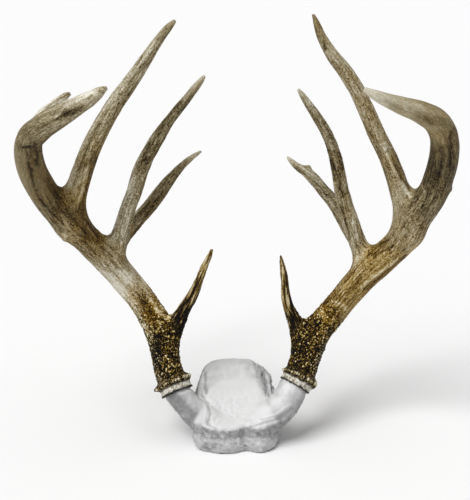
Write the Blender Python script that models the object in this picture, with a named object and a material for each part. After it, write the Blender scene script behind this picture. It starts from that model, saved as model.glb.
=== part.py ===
"""A pair of whitetail deer antlers seated on a cast white skull plate.

The plate stands on its flat underside, at Z = 0, and faces -Y. Each antler is one branching piece,
split at its forks: a main beam with its burr, and the tines that rise from it.
The beams, tines and pedicles are drawn on a plane that leans back from upright, as a rack does on its
plate. A station on it is (across, up, forward, width) in millimetres: across is +X, up runs along the
lean, forward stands out of the plane towards the front, and width is the diameter there.
"""

import math

import bmesh
import bpy
import numpy as np

MM = 0.001
LEAN = math.radians(25)
GAP = 0.35  # clearance between pieces that touch, in mm

LEFT_BEAM = [
    (-65, 47, 31, 34.5),
    (-68, 54, 30, 34),
    (-75, 70, 28, 31),
    (-78.5, 88, 25, 31.5),
    (-82, 104, 22, 32.5),
    (-90, 124.5, 20, 32),
    (-104, 148, 21, 31),
    (-120, 168, 27, 31.5),
    (-141.5, 193, 40, 32),
    (-163.5, 216, 57, 32),
    (-180, 234.5, 76, 32.5),
    (-196, 250.5, 93, 32.5),
    (-208.5, 269.5, 114, 32),
    (-217.5, 289.5, 137, 31.5),
    (-220, 307, 160, 30.5),
    (-216.5, 321, 182, 29),
    (-204, 331, 205, 27.5),
    (-186, 341, 228, 25),
    (-164, 351.3, 247, 20),
    (-146, 360.5, 260, 14.5),
    (-136, 367, 267, 9),
    (-131, 369.5, 269, 3.5),
]
LEFT_BROW_TINE = [
    (-76, 106, 22, 20.5),
    (-66, 122, 27, 18.5),
    (-58, 137, 33, 14.7),
    (-49, 152, 39, 12.2),
    (-42, 168, 44, 9.7),
    (-35, 185, 49, 7.5),
    (-29, 198, 53, 5),
    (-26, 206, 55, 2),
]
LEFT_SECOND_TINE = [
    (-138, 196, 40, 18.5),
    (-130, 214, 46, 19.5),
    (-124, 233, 53, 18.7),
    (-118, 251, 61, 18),
    (-111, 270, 70, 17.5),
    (-104, 290.5, 80, 17),
    (-94.7, 309.5, 90, 15.5),
    (-83.7, 326.5, 100, 14),
    (-72.7, 342.5, 110, 12.3),
    (-60.5, 357.5, 119, 10.5),
    (-48.5, 372.5, 127, 8.7),
    (-38, 385, 133, 6.2),
    (-33, 391, 136, 2.8),
]
LEFT_SECOND_BRANCH = [
    (-132, 205, 34, 12),
    (-122, 221, 34, 14.5),
    (-110, 236.2, 36, 15),
    (-97, 251.2, 40, 15),
    (-85, 266.2, 45, 14.5),
    (-73, 282, 51, 12.5),
    (-59.7, 296.7, 58, 9.2),
    (-48, 306.3, 64, 6),
    (-38, 313, 69, 2.5),
]
LEFT_THIRD_TINE = [
    (-181, 231, 76, 25),
    (-178, 248, 84, 25.5),
    (-173.3, 268, 94, 24.5),
    (-165.4, 291, 106, 23),
    (-156.4, 313, 118, 21.5),
    (-142.4, 339, 133, 19.5),
    (-128.4, 361, 145, 18.3),
    (-112.3, 382, 157, 16.4),
    (-94.3, 407, 170, 13.4),
    (-80, 427, 180, 10.2),
    (-69, 440, 186, 7.6),
    (-64, 445, 189, 3.8),
]
LEFT_FOURTH_TINE = [
    (-219, 315, 160, 12.5),
    (-215, 330, 163, 12.0),
    (-208, 345, 163, 10.5),
    (-198, 355, 160, 9.5),
    (-188, 363, 156, 8.5),
    (-180, 369, 152, 7.5),
    (-176, 371, 150, 3.5),
]
RIGHT_BEAM = [
    (65, 54, 31, 34.5),
    (69, 61, 30, 34),
    (76, 80, 28, 33.5),
    (82.5, 99, 25, 34),
    (89.5, 113.5, 22, 33),
    (103, 129, 20, 31.5),
    (116, 145, 21, 30.5),
    (130, 162, 27, 31),
    (146, 180, 38, 32.5),
    (163, 196, 52, 33),
    (177, 210, 65, 33),
    (188, 225.5, 81, 33),
    (199.5, 245, 98, 33.5),
    (211.5, 265, 118, 32.5),
    (217.5, 284, 138, 32),
    (221, 305, 160, 31.5),
    (219, 323, 181, 30),
    (209.5, 338, 203, 28),
    (191, 347, 224, 23.5),
    (171.5, 352.5, 241, 19),
    (154, 358, 253, 14.3),
    (141, 363, 261, 10.3),
    (131, 368, 266, 5),
]
RIGHT_BROW_TINE = [
    (78, 100, 24, 20.0),
    (70, 114, 28, 19.0),
    (64, 129, 32, 15.0),
    (58, 143, 37, 12.0),
    (55, 157, 42, 10.5),
    (54, 170, 46, 8.5),
    (52, 182, 50, 6.8),
    (50, 193, 53, 4.4),
    (49, 199, 55, 1.8),
]
RIGHT_SECOND_TINE = [
    (144, 191, 40, 19.5),
    (136, 210, 45, 19.3),
    (129, 230, 52, 18.3),
    (122, 250, 61, 17.3),
    (116, 270, 70, 15.8),
    (112, 290, 80, 14.8),
    (107, 311, 90, 13.3),
    (98, 332, 101, 11.6),
    (85, 352, 112, 9.5),
    (73, 369, 121, 7),
    (67, 377, 126, 3),
]
RIGHT_SECOND_BRANCH = [
    (134, 213, 34, 14.5),
    (126, 227, 34, 16),
    (118, 242, 36, 15.7),
    (108.2, 257.2, 40, 14.5),
    (97, 270.2, 45, 13.3),
    (87, 282.2, 50, 12.7),
    (77.5, 290.5, 55, 11.2),
    (68, 296, 59, 8.2),
    (61, 302, 62, 5.8),
    (56, 307, 65, 2.6),
]
RIGHT_THIRD_TINE = [
    (189, 224, 80, 23.8),
    (186, 239, 88, 24.8),
    (182, 256, 95, 23.8),
    (175.7, 275, 104, 21.8),
    (165.7, 301, 116, 19.8),
    (150.7, 330, 130, 18.8),
    (137.7, 357, 142, 17.6),
    (127.7, 376, 151, 17),
    (114.8, 395, 160, 16),
    (101, 412, 168, 13.6),
    (90, 430, 176, 9.8),
    (84, 445, 182, 6.2),
    (81, 452, 185, 2.9),
]

# Lumps that stand out of an antler's surface: (across, up, forward, height, reach) in mm.
LUMPS = [
    (-96, 60, 30, 3.5, 7),
    (96, 62, 30, 3.0, 7),
    (-190, 222, 57, 2.5, 8),
    (-203, 242, 76, 1.5, 9),
    (233, 275, 122, 1.2, 11),
    (159, 181, 45, 1.5, 9),
    (84, 281, 62, 2.0, 6),
]

# The pedicles: stubs that grow out of the plate and carry the antlers.
LEFT_PEDICLE = [(-15, 9, 29, 32), (-31, 14, 34, 34), (-49, 28, 35, 30), (-65, 47, 31, 29)]
RIGHT_PEDICLE = [(15, 12, 28, 32), (33, 18, 33, 36), (54, 34, 35, 34), (65, 54, 31, 32)]
PEDICLE_STEP = 9
PEDICLE_SIDES = 18

# The plate in plan, front at -Y: depth, then the half-widths to the left and to the right, in mm.
PLATE_PLAN = [
    (-50, 18, 14),
    (-47, 34, 33),
    (-40, 43, 42),
    (-28, 47, 46),
    (-10, 47, 45),
    (8, 46, 44),
    (24, 41, 43),
    (38, 38, 41),
    (46, 32, 36),
    (50, 22, 26),
]
FRONT_NOTCH = (10, 9, 6)  # across, half-width and depth of the notch in the front edge
WALL_FRONT = 31  # height of the wall at the front
WALL_BACK = 68  # height of the wall at the back
# Up the wall: (share of the outline, height in mm, share of the rim's height). The foot is a ledge.
WALL_STEPS = [
    (0.99, 0, 0.0),
    (1.03, 3, 0.0),
    (1.02, 10, 0.0),
    (0.955, 13.5, 0.0),
    (0.96, 0, 0.75),
    (0.99, -3.5, 1.0),
    (0.95, -0.5, 1.0),
]
CROWN = 4  # how far the braincase domes up, in mm
BROW_DIP = 3  # how far the brow sinks between the pedicles
FLANK_DROP = 8  # how far the hollow right temple falls to the edge
TOP_SHARES = [0.87, 0.76, 0.62, 0.45, 0.27, 0.09]  # rings across the top, rim to middle

BURR_AT = 11.5  # distance of the burr's middle from the base, in mm
BURR_DIAMETER = 39
BURR_THICK = 7.5
BURR_BEADS = 18
BEAD_RELIEF = 1.3
BEAM_SIDES = 18
BEAM_STEP = 13
PEARL_STEP = 6  # rings stand this close where the beam is pearled
PEARL_END = 115  # distance along the beam where the pearling has faded out
PEARL_RELIEF = 0.9
TINE_SIDES = 10
TINE_STEP = 12
BEAM_RIDGES = 4  # long ridges round a beam
TINE_RIDGES = 3
RIDGE_RELIEF = 0.4  # height of the long ridges, in mm
RIDGE_TWIST = 60  # the ridges turn by one radian in this distance, in mm
WEB = 4.5  # how widely a tine's root flares into the piece it grows from, in mm
DEEP = 9  # this far inside that piece, in mm, the tube doesn't flare

ANTLER_COLOURS = {"beam": (0.30, 0.21, 0.11), "tine": (0.52, 0.44, 0.31)}
PLATE_COLOUR = (0.86, 0.86, 0.86)


def clear_scene():
    for obj in list(bpy.data.objects):
        bpy.data.objects.remove(obj, do_unlink=True)


def material(name, colour, roughness):
    """A Principled BSDF of one colour."""
    made = bpy.data.materials.new(name)
    made.use_nodes = True
    shader = made.node_tree.nodes["Principled BSDF"]
    shader.inputs["Base Color"].default_value = (*colour, 1)
    shader.inputs["Roughness"].default_value = roughness
    shader.inputs["Metallic"].default_value = 0
    return made


def upright(points):
    """Points of the leaning plane (across, up, forward) as X, Y, Z in millimetres."""
    across, up, forward = np.asarray(points, float).T
    return np.stack(
        [
            across,
            up * math.sin(LEAN) - forward * math.cos(LEAN),
            up * math.cos(LEAN) + forward * math.sin(LEAN),
        ],
        axis=1,
    )


def curve_through(stations, distances):
    """The smooth curve through the stations, read at these distances: rows of X, Y, Z and width."""
    knots = np.array(stations, float)
    knots[:, :3] = upright(knots[:, :3])
    at = path_lengths(knots)
    slope = np.gradient(knots, at, axis=0)
    i = np.clip(np.searchsorted(at, distances, side="right") - 1, 0, len(at) - 2)
    span = (at[i + 1] - at[i])[:, None]
    t = (distances - at[i])[:, None] / span
    return (
        (2 * t**3 - 3 * t**2 + 1) * knots[i]
        + (t**3 - 2 * t**2 + t) * span * slope[i]
        + (3 * t**2 - 2 * t**3) * knots[i + 1]
        + (t**3 - t**2) * span * slope[i + 1]
    )


def path_lengths(points):
    """Distance of each point from the first, along the chords."""
    steps = np.linalg.norm(np.diff(points[:, :3], axis=0), axis=1)
    return np.concatenate([[0], np.cumsum(steps)])


def length_of(stations):
    return path_lengths(upright(np.array(stations, float)[:, :3]))[-1]


def even_steps(start, end, step):
    """Distances from start to end, about step apart."""
    return np.linspace(start, end, max(2, round((end - start) / step) + 1))


def frames_along(path):
    """The tangent and two side directions at each point, turning as little as the path allows."""
    tangents = np.gradient(path[:, :3], axis=0)
    tangents /= np.linalg.norm(tangents, axis=1)[:, None]
    side = np.cross(tangents[0], (0, 1, 0))
    sides = []
    for tangent in tangents:
        side = side - tangent * (side @ tangent)
        side /= np.linalg.norm(side)
        sides.append(side)
    sides = np.array(sides)
    return tangents, sides, np.cross(tangents, sides)


def outside(points, path):
    """How far each point lies outside the tube along path, in mm: negative inside it."""
    start, run = path[:-1], np.diff(path, axis=0)
    to_point = points[:, None, :] - start[None, :, :3]
    share = (to_point * run[:, :3]).sum(2) / (run[:, :3] ** 2).sum(1)
    share = np.clip(share, 0, 1)
    nearest = to_point - share[:, :, None] * run[:, :3]
    radius = (start[:, 3] + share * run[:, 3]) / 2
    return (np.linalg.norm(nearest, axis=2) - radius).min(1)


def tube_rings(path, sides, relief=None, parents=()):
    """Rings of points round a path. relief(distance, angle) adds to the radius, in mm.

    Near a parent's surface the rings flare, so that a tine widens into the piece it grows from."""
    _, first, second = frames_along(path)
    angles = np.arange(sides) * 2 * math.pi / sides
    distance = path_lengths(path)
    outward = (
        first[:, None] * np.cos(angles)[None, :, None]
        + second[:, None] * np.sin(angles)[None, :, None]
    )
    # The polygon has the area of the circle that it stands for.
    fuller = math.sqrt(2 * math.pi / sides / math.sin(2 * math.pi / sides))
    radius = np.repeat(path[:, 3:] / 2 * fuller, sides, axis=1)
    if relief:
        radius = radius + relief(distance[:, None], angles[None, :])
    for parent in parents:
        surface = path[:, None, :3] + outward * radius[..., None]
        room = outside(surface.reshape(-1, 3), parent).reshape(radius.shape)
        flare = WEB * np.log1p(np.exp(-np.clip(room, 0, 60) / WEB))
        # Deep inside the parent the tube keeps its own width, so that it can't come out behind it.
        inside = np.clip(1 + outside(path[:, :3], parent) / DEEP, 0, 1)
        radius = radius + flare * inside[:, None]
    surface = path[:, None, :3] + outward * radius[..., None]
    for lump in LUMPS:
        away = np.linalg.norm(surface - upright([lump[:3]]), axis=2)
        radius = radius + lump[3] * np.exp(-((away / lump[4]) ** 2))
    return path[:, None, :3] + outward * radius[..., None]


def skin(name, rings, colour, helper=False):
    """A closed object from rings of points in millimetres, capped at both ends."""
    shape = bmesh.new()
    loops = [[shape.verts.new(point * MM) for point in ring] for ring in rings]
    count = len(loops[0])
    for low, high in zip(loops, loops[1:]):
        for i in range(count):
            j = (i + 1) % count
            shape.faces.new((low[i], low[j], high[j]))
            shape.faces.new((low[i], high[j], high[i]))
    shape.faces.new(loops[0][::-1])
    shape.faces.new(loops[-1])
    bmesh.ops.recalc_face_normals(shape, faces=shape.faces)
    mesh = bpy.data.meshes.new(name)
    shape.to_mesh(mesh)
    shape.free()
    mesh.shade_smooth()
    mesh.set_sharp_from_angle(angle=math.radians(50))
    made = bpy.data.objects.new(name, mesh)
    bpy.context.scene.collection.objects.link(made)
    if helper:
        made.hide_render = True
        made.display_type = "WIRE"
    else:
        mesh.materials.append(colour)
    return made


def combine(obj, other, operation):
    """A Boolean with a helper object, which stays hidden."""
    boolean = obj.modifiers.new(f"{operation.lower()} {other.name}", "BOOLEAN")
    boolean.operation = operation
    boolean.object = other


def beam_distances(length):
    """Ring places along a beam: close together where it is pearled."""
    return np.concatenate(
        [
            even_steps(0, PEARL_END, PEARL_STEP)[:-1],
            even_steps(PEARL_END, length, BEAM_STEP),
        ]
    )


def beam_relief(distance, angle):
    """Pearls on the lower beam, fading into long ridges above."""
    ring = np.round(distance / PEARL_STEP)
    pearled = np.clip((PEARL_END - distance) / PEARL_END, 0, 1)
    above_burr = np.clip((distance - BURR_AT) / PEARL_STEP, 0, 1)
    pearls = PEARL_RELIEF * pearled * above_burr
    pearls = pearls * np.cos(angle * BEAM_SIDES / 2) * np.cos(math.pi * ring)
    ridges = (1 - pearled) * RIDGE_RELIEF * np.cos(BEAM_RIDGES * angle + distance / RIDGE_TWIST)
    return pearls + ridges


def tine_relief(distance, angle):
    """Shallow ridges that run the length of a tine and die out towards its tip."""
    fade = np.clip(1 - distance / distance.max(), 0, 1)
    return RIDGE_RELIEF * fade * np.cos(TINE_RIDGES * angle + distance / RIDGE_TWIST)


def burr_rings(path):
    """The beaded ring round the beam's foot, as rings of points from its lower lip to its upper one."""
    tangents, first, second = frames_along(path)
    at = path_lengths(path)
    sides = 2 * BURR_BEADS
    angles = np.arange(sides) * 2 * math.pi / sides
    profile = np.linspace(0, math.pi, 6)
    rings = []
    for turn in profile:
        place = BURR_AT - BURR_THICK / 2 * math.cos(turn)
        centre = [np.interp(place, at, path[:, axis]) for axis in range(3)]
        i = int(np.searchsorted(at, place)) - 1
        bead = BEAD_RELIEF * math.sin(turn) * np.cos(angles * BURR_BEADS)
        inner = np.interp(place, at, path[:, 3]) / 2 - 1
        radius = inner + (BURR_DIAMETER / 2 - inner) * math.sin(turn) ** 0.6 + bead
        outward = np.outer(np.cos(angles), first[i]) + np.outer(np.sin(angles), second[i])
        rings.append(np.array(centre) + outward * radius[:, None])
    return rings


def grown(path, by):
    """The same path with its tube thicker by this much all round."""
    wider = path.copy()
    wider[:, 3] += 2 * by
    return wider


def make_beam(side, stations, colour):
    """A main beam with its burr, and the slightly larger cutter that shapes the tines' roots."""
    path = curve_through(stations, beam_distances(length_of(stations)))
    beam = skin(f"{side}_main_beam", tube_rings(path, BEAM_SIDES, beam_relief), colour)
    burr = skin(f"{side}_burr_helper", burr_rings(path), None, helper=True)
    combine(beam, burr, "UNION")
    cutter_rings = tube_rings(grown(path, GAP), BEAM_SIDES, beam_relief)
    cutter = skin(f"{side}_beam_cutter", cutter_rings, None, helper=True)
    return path, cutter


def make_tine(name, stations, parents, colour):
    """A tine that widens into its parents and is cut off where it meets them."""
    path = curve_through(stations, even_steps(0, length_of(stations), TINE_STEP))
    parent_paths = [parent[0] for parent in parents]
    rings = tube_rings(path, TINE_SIDES, tine_relief, parent_paths)
    tine = skin(name, rings, colour)
    for _, cutter in parents:
        combine(tine, cutter, "DIFFERENCE")
    cutter_rings = tube_rings(grown(path, GAP), TINE_SIDES, tine_relief, parent_paths)
    return path, skin(f"{name}_cutter", cutter_rings, None, helper=True)


def make_antler(side, beam, brow, second, branch, third, fourth, colours):
    """One antler, split at its forks. The branch grows from the second tine's root."""
    trunk = make_beam(side, beam, colours["beam"])
    make_tine(f"{side}_brow_tine", brow, [trunk], colours["beam"])
    second_tine = make_tine(f"{side}_second_tine", second, [trunk], colours["tine"])
    make_tine(f"{side}_second_tine_branch", branch, [trunk, second_tine], colours["tine"])
    make_tine(f"{side}_third_tine", third, [trunk], colours["tine"])
    if fourth:
        make_tine(f"{side}_fourth_tine", fourth, [trunk], colours["tine"])


def plan_outline():
    """The plate's outline in plan: points from the middle of the front, round by the right side."""
    depth, left, right = np.array(PLATE_PLAN, float).T
    right_side = np.stack([right, depth], axis=1)
    left_side = np.stack([-left, depth], axis=1)[::-1]
    corners = np.concatenate([right_side, left_side])
    across, half_width, notch = FRONT_NOTCH
    closed = np.concatenate([corners, corners[:1]])
    at = path_lengths(np.c_[closed, np.zeros(len(closed))])
    places = np.linspace(0, at[-1], 49)[:-1]
    outline = np.stack([np.interp(places, at, closed[:, k]) for k in (0, 1)], axis=1)
    for _ in range(2):
        outline = (np.roll(outline, 1, 0) + 2 * outline + np.roll(outline, -1, 0)) / 4
    in_notch = (outline[:, 1] < -30) * np.exp(-(((outline[:, 0] - across) / half_width) ** 2))
    outline[:, 1] += notch * in_notch
    return outline


def smooth(value):
    """0 below 0, 1 above 1, and an even S between."""
    value = np.clip(value, 0, 1)
    return value * value * (3 - 2 * value)


def top_height(across, depth):
    """Height of the plate's top: it rises to the back, domes there, and falls away at the right."""
    slope = WALL_FRONT + (WALL_BACK - WALL_FRONT) * np.clip((depth + 50) / 100, 0, 1)
    dome = CROWN * np.exp(-(((depth - 18) / 26) ** 2)) * (1 - (across / 44) ** 2)
    dip = BROW_DIP * np.exp(-(((depth + 25) / 14) ** 2) - (across / 22) ** 2)
    flank_edge = 14 + 14 * (50 - depth) / 60
    flank = smooth((across - flank_edge) / 16) * smooth((depth + 14) / 22)
    return slope + dome - dip - FLANK_DROP * flank


def plate_rings():
    """Rings up the plate's wall, over its rim and across its top."""
    outline = plan_outline()
    rim = top_height(*outline.T)
    rings = [
        np.c_[outline * share, height + rim_share * rim]
        for share, height, rim_share in WALL_STEPS
    ]
    for share in TOP_SHARES:
        inner = outline * share
        rings.append(np.c_[inner, top_height(*inner.T)])
    return rings


def make_pedicle(side, stations, beam):
    """A pedicle, its flat end square to the antler's foot and GAP short of it."""
    path = curve_through(stations, even_steps(0, length_of(stations), PEDICLE_STEP))
    foot = curve_through(beam, np.array([0.0, 2.0]))[:, :3]
    along = (foot[1] - foot[0]) / np.linalg.norm(foot[1] - foot[0])
    rings = tube_rings(path, PEDICLE_SIDES)
    # The last two rings turn square to the foot.
    for ring, back in ((rings[-1], GAP), (rings[-2], 4.0)):
        centre = foot[0] - along * back
        spoke = ring - ring.mean(0)
        spoke -= np.outer(spoke @ along, along)
        spoke *= (stations[-1][3] / 2) / np.linalg.norm(spoke, axis=1)[:, None]
        ring[:] = centre + spoke
    return skin(f"{side}_pedicle_helper", rings, None, helper=True)


def make_plate(colour):
    """The cast plate: one piece with both pedicles."""
    plate = skin("skull_plate", plate_rings(), colour)
    for side, stations, beam in (
        ("left", LEFT_PEDICLE, LEFT_BEAM),
        ("right", RIGHT_PEDICLE, RIGHT_BEAM),
    ):
        combine(plate, make_pedicle(side, stations, beam), "UNION")


def main():
    clear_scene()
    make_plate(material("white cast", PLATE_COLOUR, 0.45))
    colours = {name: material(name, rgb, 0.5) for name, rgb in ANTLER_COLOURS.items()}
    make_antler(
        "left",
        LEFT_BEAM,
        LEFT_BROW_TINE,
        LEFT_SECOND_TINE,
        LEFT_SECOND_BRANCH,
        LEFT_THIRD_TINE,
        LEFT_FOURTH_TINE,
        colours,
    )
    make_antler(
        "right",
        RIGHT_BEAM,
        RIGHT_BROW_TINE,
        RIGHT_SECOND_TINE,
        RIGHT_SECOND_BRANCH,
        RIGHT_THIRD_TINE,
        None,
        colours,
    )


main()
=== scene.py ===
"""The finish and the fine surface of a deer's antlers, seated on a cast white skull plate.

Lengths are in millimetres until a mesh is made. Each antler is drawn as tubes on a plane that leans
back, with stations (across, up, forward, width), then fused into one skin and worked over in relief.
"""

import itertools
import math

import bmesh
import bpy
import numpy as np
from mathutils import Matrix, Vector
from numpy.linalg import norm


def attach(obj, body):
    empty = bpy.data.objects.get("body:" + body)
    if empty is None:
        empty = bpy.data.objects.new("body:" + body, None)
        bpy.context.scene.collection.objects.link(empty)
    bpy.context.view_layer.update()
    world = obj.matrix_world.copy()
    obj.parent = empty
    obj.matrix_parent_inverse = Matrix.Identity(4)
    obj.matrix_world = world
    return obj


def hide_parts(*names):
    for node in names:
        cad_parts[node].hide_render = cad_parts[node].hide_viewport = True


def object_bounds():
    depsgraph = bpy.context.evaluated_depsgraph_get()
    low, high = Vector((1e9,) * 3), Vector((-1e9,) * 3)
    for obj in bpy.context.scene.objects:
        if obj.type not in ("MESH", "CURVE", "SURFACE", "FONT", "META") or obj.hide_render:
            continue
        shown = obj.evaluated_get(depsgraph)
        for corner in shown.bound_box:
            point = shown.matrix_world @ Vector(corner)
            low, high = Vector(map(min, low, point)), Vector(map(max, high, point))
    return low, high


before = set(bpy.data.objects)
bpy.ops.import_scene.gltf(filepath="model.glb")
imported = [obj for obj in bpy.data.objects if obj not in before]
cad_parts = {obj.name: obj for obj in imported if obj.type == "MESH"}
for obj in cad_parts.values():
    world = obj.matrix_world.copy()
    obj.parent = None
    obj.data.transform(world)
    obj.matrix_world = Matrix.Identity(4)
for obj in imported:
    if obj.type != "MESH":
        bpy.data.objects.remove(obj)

cad_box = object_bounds()

MM = 0.001
LEAN = math.radians(25)
SIN, COS = math.sin(LEAN), math.cos(LEAN)

LEFT_BEAM = [
    (-65, 47, 31, 34.5), (-68, 54, 30, 34), (-75, 70, 28, 31), (-78.5, 88, 25, 31.5),
    (-82, 104, 22, 32.5), (-90, 124.5, 20, 32), (-104, 148, 21, 31), (-120, 168, 27, 31.5),
    (-141.5, 193, 40, 32), (-163.5, 216, 57, 32), (-180, 234.5, 76, 32.5), (-196, 250.5, 93, 32.5),
    (-208.5, 269.5, 114, 32), (-217.5, 289.5, 137, 31.5), (-220, 307, 160, 30.5),
    (-216.5, 321, 182, 29), (-204, 331, 205, 27.5), (-186, 341, 228, 25), (-164, 351.3, 247, 20),
    (-146, 360.5, 260, 14.5), (-136, 367, 267, 9), (-131, 369.5, 269, 3.5),
]
LEFT_BROW_TINE = [
    (-76, 106, 22, 20.5), (-66, 122, 27, 18.5), (-58, 137, 33, 14.7), (-49, 152, 39, 12.2),
    (-42, 168, 44, 9.7), (-35, 185, 49, 7.5), (-29, 198, 53, 5), (-26, 206, 55, 2),
]
LEFT_SECOND_TINE = [
    (-138, 196, 40, 18.5), (-130, 214, 46, 19.5), (-124, 233, 53, 18.7), (-118, 251, 61, 18),
    (-111, 270, 70, 17.5), (-104, 290.5, 80, 17), (-94.7, 309.5, 90, 15.5), (-83.7, 326.5, 100, 14),
    (-72.7, 342.5, 110, 12.3), (-60.5, 357.5, 119, 10.5), (-48.5, 372.5, 127, 8.7),
    (-38, 385, 133, 6.2), (-33, 391, 136, 2.8),
]
LEFT_SECOND_BRANCH = [
    (-132, 205, 34, 12), (-122, 221, 34, 14.5), (-110, 236.2, 36, 15), (-97, 251.2, 40, 15),
    (-85, 266.2, 45, 14.5), (-73, 282, 51, 12.5), (-59.7, 296.7, 58, 9.2), (-48, 306.3, 64, 6),
    (-38, 313, 69, 2.5),
]
LEFT_THIRD_TINE = [
    (-181, 231, 76, 25), (-178, 248, 84, 25.5), (-173.3, 268, 94, 24.5), (-165.4, 291, 106, 23),
    (-156.4, 313, 118, 21.5), (-142.4, 339, 133, 19.5), (-128.4, 361, 145, 18.3),
    (-112.3, 382, 157, 16.4), (-94.3, 407, 170, 13.4), (-80, 427, 180, 10.2), (-69, 440, 186, 7.6),
    (-64, 445, 189, 3.8),
]
LEFT_FOURTH_TINE = [
    (-219, 315, 160, 12.5), (-215, 330, 163, 12), (-208, 345, 163, 10.5), (-198, 355, 160, 9.5),
    (-188, 363, 156, 8.5), (-180, 369, 152, 7.5), (-176, 371, 150, 3.5),
]
RIGHT_BEAM = [
    (65, 54, 31, 34.5), (69, 61, 30, 34), (76, 80, 28, 33.5), (82.5, 99, 25, 34),
    (89.5, 113.5, 22, 33), (103, 129, 20, 31.5), (116, 145, 21, 30.5), (130, 162, 27, 31),
    (146, 180, 38, 32.5), (163, 196, 52, 33), (177, 210, 65, 33), (188, 225.5, 81, 33),
    (199.5, 245, 98, 33.5), (211.5, 265, 118, 32.5), (217.5, 284, 138, 32), (221, 305, 160, 31.5),
    (219, 323, 181, 30), (209.5, 338, 203, 28), (191, 347, 224, 23.5), (171.5, 352.5, 241, 19),
    (154, 358, 253, 14.3), (141, 363, 261, 10.3), (131, 368, 266, 5),
]
RIGHT_BROW_TINE = [
    (78, 100, 24, 20), (70, 114, 28, 19), (64, 129, 32, 15), (58, 143, 37, 12), (55, 157, 42, 10.5),
    (54, 170, 46, 8.5), (52, 182, 50, 6.8), (50, 193, 53, 4.4), (49, 199, 55, 1.8),
]
RIGHT_SECOND_TINE = [
    (144, 191, 40, 19.5), (136, 210, 45, 19.3), (129, 230, 52, 18.3), (122, 250, 61, 17.3),
    (116, 270, 70, 15.8), (112, 290, 80, 14.8), (107, 311, 90, 13.3), (98, 332, 101, 11.6),
    (85, 352, 112, 9.5), (73, 369, 121, 7), (67, 377, 126, 3),
]
RIGHT_SECOND_BRANCH = [
    (134, 213, 34, 14.5), (126, 227, 34, 16), (118, 242, 36, 15.7), (108.2, 257.2, 40, 14.5),
    (97, 270.2, 45, 13.3), (87, 282.2, 50, 12.7), (77.5, 290.5, 55, 11.2), (68, 296, 59, 8.2),
    (61, 302, 62, 5.8), (56, 307, 65, 2.6),
]
RIGHT_THIRD_TINE = [
    (189, 224, 80, 23.8), (186, 239, 88, 24.8), (182, 256, 95, 23.8), (175.7, 275, 104, 21.8),
    (165.7, 301, 116, 19.8), (150.7, 330, 130, 18.8), (137.7, 357, 142, 17.6),
    (127.7, 376, 151, 17), (114.8, 395, 160, 16), (101, 412, 168, 13.6), (90, 430, 176, 9.8),
    (84, 445, 182, 6.2), (81, 452, 185, 2.9),
]

# Colour along each tube: (share of its length, pale, ochre, worn smooth), each from 0 to 1.
LEFT_BEAM_TONES = [
    (0, 0.3, 0.6, 0), (0.13, 0.4, 0.9, 0), (0.2, 0.6, 0.85, 0.1), (0.28, 0.82, 0.5, 0.1),
    (0.34, 0.62, 0.5, 0), (0.4, 0.42, 0.6, 0), (0.5, 0.33, 0.5, 0.1), (0.57, 0.34, 0.45, 0.65),
    (0.68, 0.37, 0.42, 0.85), (0.76, 0.29, 0.45, 0.45), (0.84, 0.39, 0.3, 0.4),
    (0.91, 0.54, 0.1, 0.3), (1, 0.7, 0, 0.6),
]
RIGHT_BEAM_TONES = [
    (0, 0.3, 0.7, 0), (0.16, 0.53, 0.75, 0), (0.24, 0.58, 0.84, 0), (0.34, 0.56, 1, 0),
    (0.42, 0.5, 0.7, 0), (0.54, 0.37, 0.4, 0.1), (0.66, 0.24, 0.35, 0.4), (0.76, 0.4, 0.5, 0.6),
    (0.86, 0.53, 0.4, 0.7), (1, 0.77, 0.2, 0.8),
]
BROW_TONES = [
    (0, 0.1, 0.8, 0), (0.3, 0.16, 0.7, 0), (0.55, 0.32, 0.9, 0.1), (0.75, 0.4, 1, 0.2),
    (1, 0.45, 0.8, 0.5),
]
LEFT_SECOND_TONES = [
    (0, 0.68, 0.42, 0.2), (0.3, 0.58, 0.35, 0.1), (0.6, 0.37, 0.35, 0.1), (0.85, 0.42, 0.2, 0.3),
    (1, 0.67, 0, 0.7),
]
RIGHT_SECOND_TONES = [
    (0, 0.63, 0.4, 0.2), (0.3, 0.57, 0.48, 0.1), (0.6, 0.46, 0.38, 0.1), (0.85, 0.48, 0.1, 0.3),
    (1, 0.72, 0, 0.5),
]
LEFT_BRANCH_TONES = [
    (0, 0.4, 0.5, 0.1), (0.5, 0.38, 0.4, 0.1), (0.85, 0.45, 0.25, 0.3), (1, 0.62, 0, 0.7),
]
RIGHT_BRANCH_TONES = [
    (0, 0.55, 0.4, 0.1), (0.5, 0.53, 0.25, 0.1), (0.85, 0.6, 0.05, 0.4), (1, 0.76, 0, 0.8),
]
LEFT_THIRD_TONES = [
    (0, 0.62, 0.6, 0.5), (0.15, 0.59, 0.6, 0.5), (0.3, 0.43, 0.55, 0.2), (0.6, 0.55, 0.36, 0.2),
    (0.85, 0.58, 0.28, 0.3), (1, 0.5, 0.4, 0.6),
]
RIGHT_THIRD_TONES = [
    (0, 0.71, 0.45, 0.5), (0.15, 0.65, 0.45, 0.5), (0.3, 0.52, 0.5, 0.2), (0.6, 0.64, 0.5, 0.2),
    (0.85, 0.62, 0.4, 0.4), (1, 0.4, 0.5, 0.6),
]
FOURTH_TONES = [(0, 0.5, 0.4, 0), (0.35, 0.74, 0.35, 0), (0.8, 0.78, 0.3, 0), (1, 0.62, 0.4, 0)]

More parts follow.
